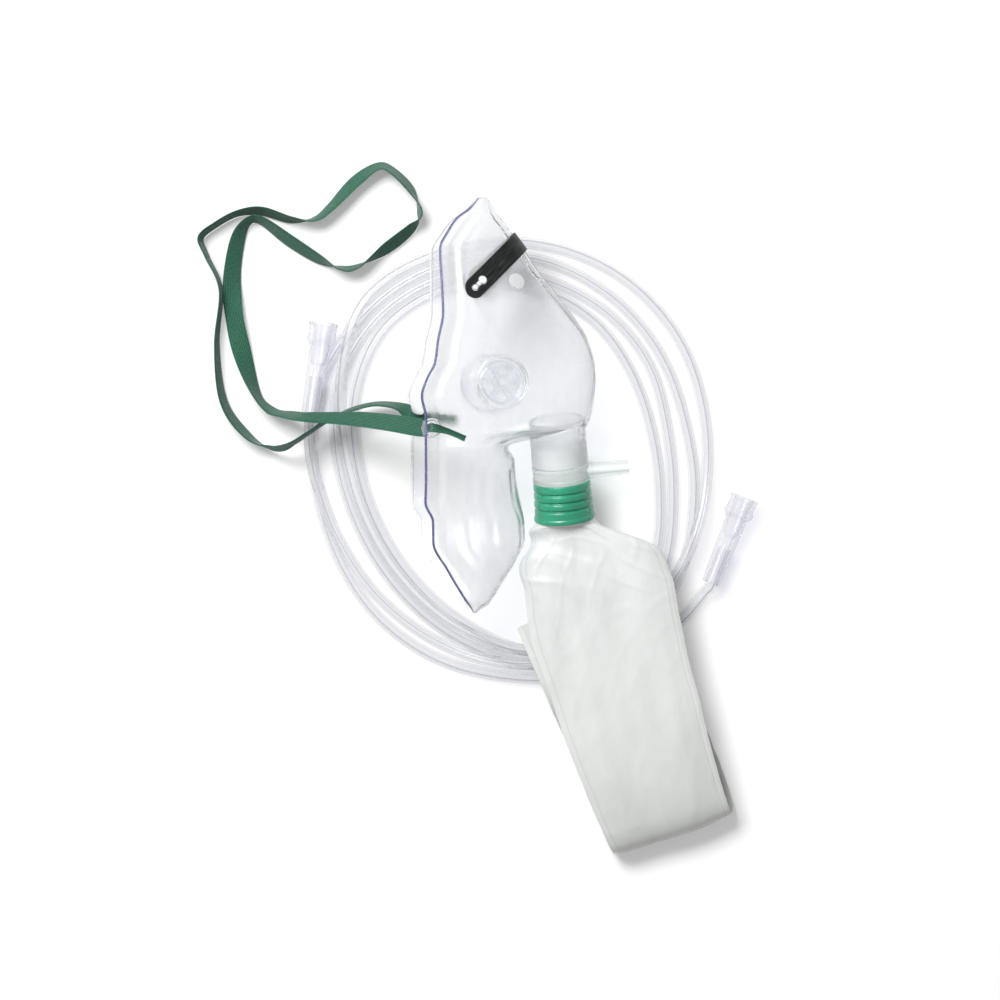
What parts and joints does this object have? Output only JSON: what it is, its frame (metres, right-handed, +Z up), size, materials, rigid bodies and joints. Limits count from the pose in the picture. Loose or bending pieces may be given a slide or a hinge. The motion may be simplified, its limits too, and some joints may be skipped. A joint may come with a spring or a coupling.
{
  "type": "oxygen face mask",
  "caption": "Clear oxygen face mask lying on its side, with a nose clip, side valves, a green strap, a folded reservoir bag under a ribbed collar, and coiled tubing with flared connectors.",
  "frame": {"origin": "on the table, under the middle of the mask and bag as they lie, without the strap and the tubing", "axes": "+Y from the bag's folded end towards the nose of the mask, the longest way across; +Z up from the table; +X to the port's nipple side, away from the mask's open side"},
  "size_m": [0.2357, 0.2914, 0.0569],
  "materials": {
    "clear_pvc": "clear, glossy",
    "frosted_plastic": "frosted",
    "silicone": "translucent, satin",
    "green_collar": "satin",
    "dark_aluminium": "dark brushed",
    "bag_film": "frosted film",
    "green_elastic": "flat elastic",
    "clear_tubing": "clear, glossy"
  },
  "bodies": {
    "root": {"mask_shell": "clear_pvc", "exhalation_flap_near": "silicone", "exhalation_flap_far": "silicone", "nose_clip": "dark_aluminium", "oxygen_adaptor": "frosted_plastic", "bag_valve_flap": "silicone", "bag_collar": "green_collar", "reservoir_bag": "bag_film", "head_strap": "green_elastic", "tubing_coil": "clear_tubing", "tubing_end_left": "clear_tubing", "tubing_end_right": "clear_tubing", "tubing_connector_left": "clear_pvc", "tubing_connector_right": "clear_pvc"}
  },
  "joints": []
}
